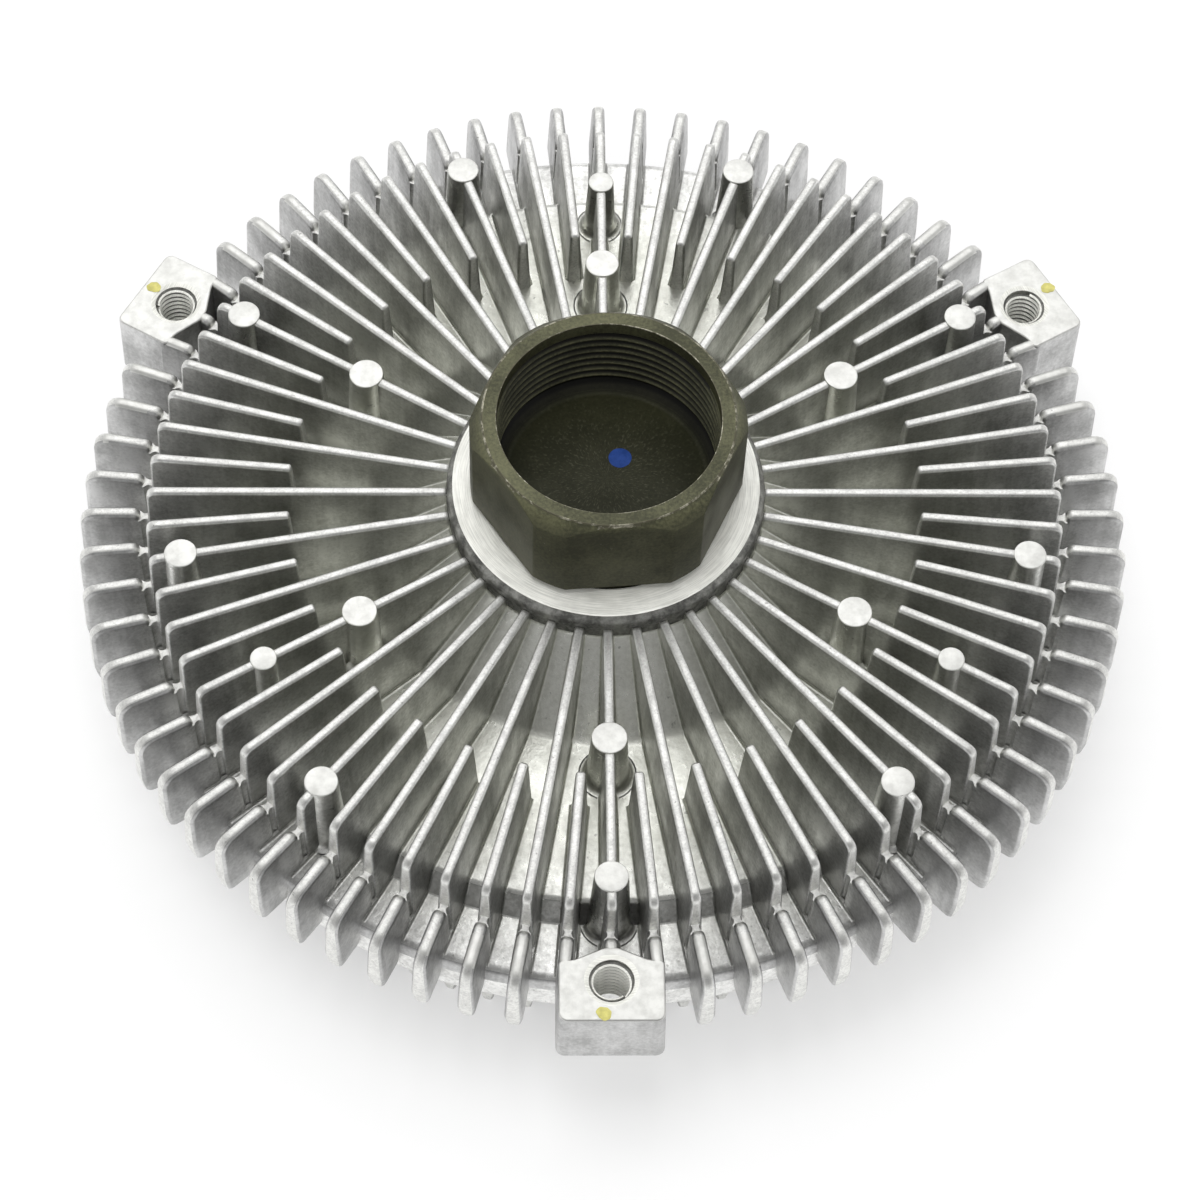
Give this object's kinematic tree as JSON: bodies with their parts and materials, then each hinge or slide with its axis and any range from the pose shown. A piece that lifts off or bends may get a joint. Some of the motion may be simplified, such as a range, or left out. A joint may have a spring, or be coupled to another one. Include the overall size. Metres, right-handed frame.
{
  "type": "viscous fan clutch",
  "caption": "Finned aluminium viscous fan clutch with tapped fan ears, a threaded steel hexagon hub on a ball bearing, a ridged rotor and a bimetal valve.",
  "frame": {"origin": "on the clutch axis, in the plane of the three ear faces that carry the fan", "axes": "+Z along the axis towards the threaded hub, -Y through one of the ears"},
  "size_m": [0.153, 0.1567, 0.0575],
  "materials": {
    "cast_aluminium": "die cast, shot blasted",
    "machined_aluminium": "turned",
    "phosphated_steel": "phosphated, oiled",
    "bearing_steel": "ground",
    "spring_steel": "blackened",
    "plated_steel": "zinc plated",
    "cage_brass": "machined",
    "bimetal": "rolled",
    "seal_rubber": "matte"
  },
  "bodies": {
    "housing": {"rear_housing": "cast_aluminium", "front_cover": "cast_aluminium", "cover_seal": "seal_rubber", "fill_plug": "plated_steel", "bearing_outer_race": "bearing_steel", "bearing_rear_seal": "seal_rubber", "bearing_front_seal": "seal_rubber", "bearing_circlip": "spring_steel", "partition_plate": "plated_steel", "bimetal_coil": "bimetal", "coil_bracket": "plated_steel", "bracket_screws": "plated_steel"},
    "drive": {"hub": "phosphated_steel", "bearing_inner_race": "bearing_steel", "rotor": "machined_aluminium"},
    "ball_train": {"bearing_balls": "bearing_steel", "bearing_cage": "cage_brass"},
    "valve": {"valve_shaft": "bearing_steel", "valve_arm": "plated_steel", "valve_shaft_seal": "seal_rubber"}
  },
  "joints": [
    {"name": "hub_spin", "type": "hinge", "parent": "housing", "child": "drive", "pos_m": [0, 0, 0], "axis": [0, 0, 1], "continuous": true},
    {"name": "ball_train_spin", "type": "hinge", "parent": "housing", "child": "ball_train", "pos_m": [0, 0, -0.0033], "axis": [0, 0, 1], "continuous": true},
    {"name": "valve_turn", "type": "hinge", "parent": "housing", "child": "valve", "pos_m": [0, 0, -0.025], "axis": [0, 0, 1], "range_deg": [0, 30], "deforming": ["bimetal_coil"]}
  ],
  "couplings": [
    {"joint": "ball_train_spin", "follows": "hub_spin", "ratio": 0.38158}
  ]
}
